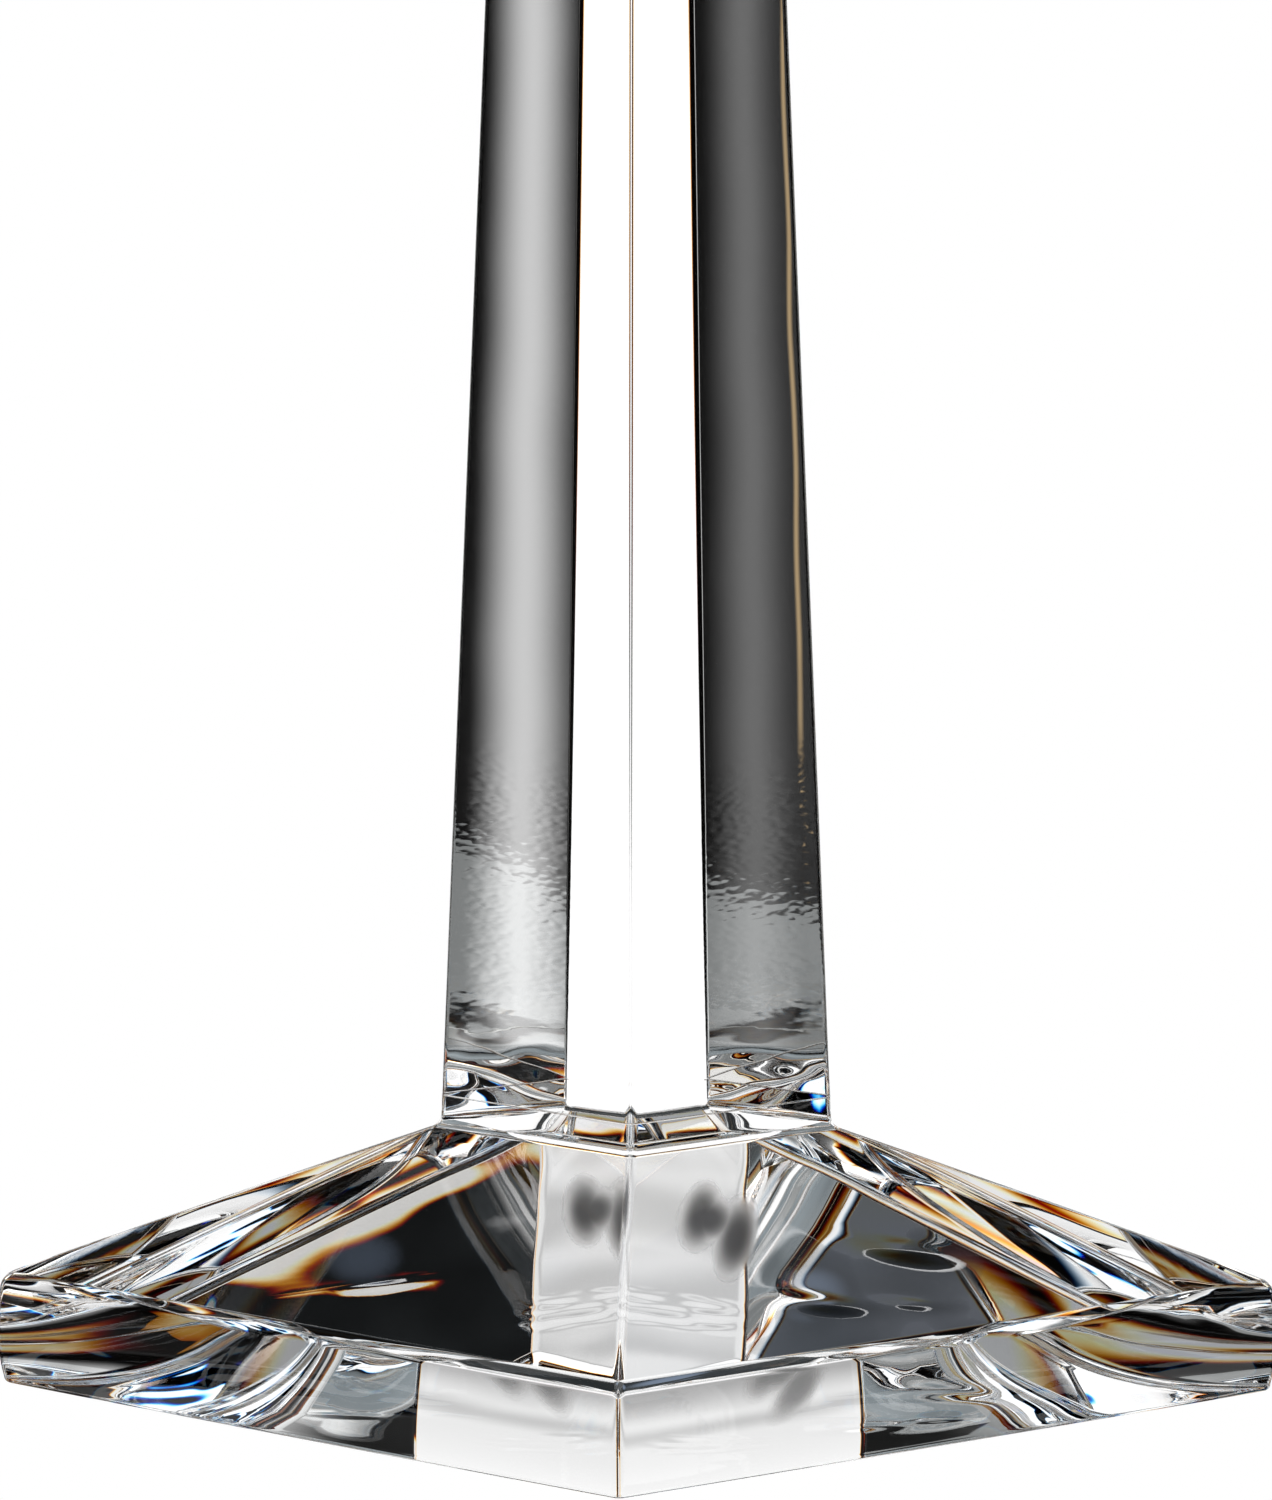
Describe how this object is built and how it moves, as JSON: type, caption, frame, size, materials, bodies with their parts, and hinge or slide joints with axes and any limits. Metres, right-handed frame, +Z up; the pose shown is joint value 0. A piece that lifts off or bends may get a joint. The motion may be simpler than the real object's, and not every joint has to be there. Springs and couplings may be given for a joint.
{
  "type": "candlestick",
  "caption": "Tall clear crystal candlestick: hipped diamond-plan foot, tapered four-sided column, flared head with a lift-out metal cup for a taper candle.",
  "frame": {"origin": "centre of the foot's underside, on the axis of the column and of the candle socket", "axes": "+Z up along the column towards the candle; +X along the long diagonal of the diamond plan; -Y is the front, an obtuse corner"},
  "size_m": [0.15, 0.1204, 0.254],
  "materials": {
    "crystal": "clear, fire-polished, with faint ripples and bright arrises",
    "adhesive": "clear cured film",
    "steel": "satin, turned rim"
  },
  "bodies": {
    "candlestick": {"foot": "crystal", "foot_bond": "adhesive", "column": "crystal", "capital_bond": "adhesive", "capital": "crystal"},
    "candle_cup": {"candle_cup": "steel"}
  },
  "joints": [
    {"name": "cup_lift", "type": "slide", "parent": "candlestick", "child": "candle_cup", "axis": [0, 0, 1], "range_m": [0, 0.03]}
  ]
}
